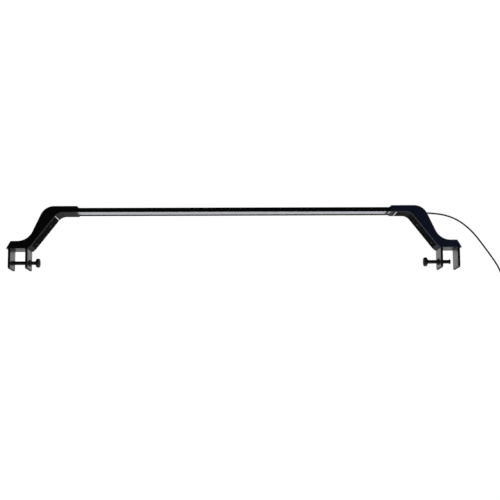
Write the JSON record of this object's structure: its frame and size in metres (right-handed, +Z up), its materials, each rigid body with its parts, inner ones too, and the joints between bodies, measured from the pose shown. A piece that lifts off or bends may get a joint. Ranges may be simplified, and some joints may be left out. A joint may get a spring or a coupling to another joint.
{
  "type": "aquarium light",
  "caption": "Slim LED light bar held over a tank by two sliding arms with rim clamps and thumb screws, and a hanging low-voltage lead.",
  "frame": {"origin": "midway between the two clamp seats, level with the tank rims they rest on, at mid depth", "axes": "+X along the light bar towards the lead's end, +Y away from the front face, +Z up"},
  "size_m": [0.9576, 0.055, 0.2406],
  "materials": {
    "arm_plastic": "satin moulded, near black",
    "cover_plastic": "fine moulded texture",
    "seal_silicone": "pale silicone",
    "screw_steel": "blackened",
    "clamp_plastic": "satin moulded, near black",
    "knob_plastic": "moulded",
    "rod_plastic": "moulded thread",
    "insert_plastic": "moulded",
    "pad_rubber": "soft",
    "housing_aluminium": "black anodised",
    "board_white": "white solder mask",
    "tape_grey": "thermal tape",
    "led_white": "phosphor",
    "led_blue": "clear blue",
    "lens_acrylic": "frosted acrylic",
    "bezel_plastic": "moulded",
    "terminal_cover": "pale satin",
    "lead_pvc": "black sheath",
    "wire_red": "red",
    "wire_black": "black",
    "plug_metal": "nickel plated"
  },
  "bodies": {
    "light_bar": {"lens_stop_left": "bezel_plastic", "terminal_cover_left": "terminal_cover", "end_cap_left": "bezel_plastic", "end_cap_screws_left": "screw_steel", "lens_stop_right": "bezel_plastic", "terminal_cover_right": "terminal_cover", "end_cap_right": "bezel_plastic", "end_cap_screws_right": "screw_steel", "bar_housing": "housing_aluminium", "thermal_tape": "tape_grey", "led_board": "board_white", "leds_white": "led_white", "leds_blue": "led_blue", "lens": "lens_acrylic", "lead_gland": "lead_pvc", "lead_inner": "lead_pvc", "wire_positive": "wire_red", "wire_negative": "wire_black", "power_lead": "lead_pvc", "lead_coil": "lead_pvc", "lead_tie": "lead_pvc", "lead_tail": "lead_pvc", "plug_body": "lead_pvc", "plug_barrel": "plug_metal", "plug_liner": "bezel_plastic"},
    "left_arm": {"arm_shell_left": "arm_plastic", "arm_cover_left": "cover_plastic", "cover_seal_left": "seal_silicone", "cover_screws_left": "screw_steel", "sleeve_grip_left": "pad_rubber", "clamp_bracket_left": "clamp_plastic", "bracket_screws_left": "screw_steel", "thread_insert_left": "insert_plastic"},
    "right_arm": {"arm_shell_right": "arm_plastic", "arm_cover_right": "cover_plastic", "cover_seal_right": "seal_silicone", "cover_screws_right": "screw_steel", "sleeve_grip_right": "pad_rubber", "clamp_bracket_right": "clamp_plastic", "bracket_screws_right": "screw_steel", "thread_insert_right": "insert_plastic", "lead_grommet": "pad_rubber"},
    "left_pad": {"screw_pad_left": "pad_rubber"},
    "right_pad": {"screw_pad_right": "pad_rubber"},
    "left_screw": {"screw_rod_left": "rod_plastic", "screw_knob_left": "knob_plastic"},
    "right_screw": {"screw_rod_right": "rod_plastic", "screw_knob_right": "knob_plastic"}
  },
  "joints": [
    {"name": "left_arm_slide", "type": "slide", "parent": "light_bar", "child": "left_arm", "axis": [-1, 0, 0], "range_m": [0, 0.03]},
    {"name": "right_arm_slide", "type": "slide", "parent": "light_bar", "child": "right_arm", "axis": [1, 0, 0], "range_m": [-0.016, 0.014]},
    {"name": "left_pad_travel", "type": "slide", "parent": "left_arm", "child": "left_pad", "axis": [1, 0, 0], "range_m": [0, 0.021]},
    {"name": "left_screw_turn", "type": "hinge", "parent": "left_pad", "child": "left_screw", "pos_m": [-0.3935, 0, -0.024], "axis": [1, 0, 0], "range_deg": [0, 5040]},
    {"name": "right_pad_travel", "type": "slide", "parent": "right_arm", "child": "right_pad", "axis": [-1, 0, 0], "range_m": [-0.009, 0.012]},
    {"name": "right_screw_turn", "type": "hinge", "parent": "right_pad", "child": "right_screw", "pos_m": [0.3935, 0, -0.024], "axis": [-1, 0, 0], "range_deg": [-2160, 2880]}
  ],
  "couplings": [
    {"joint": "left_pad_travel", "follows": "left_screw_turn", "m_per_rad": 0.00023873},
    {"joint": "right_pad_travel", "follows": "right_screw_turn", "m_per_rad": 0.00023873}
  ]
}
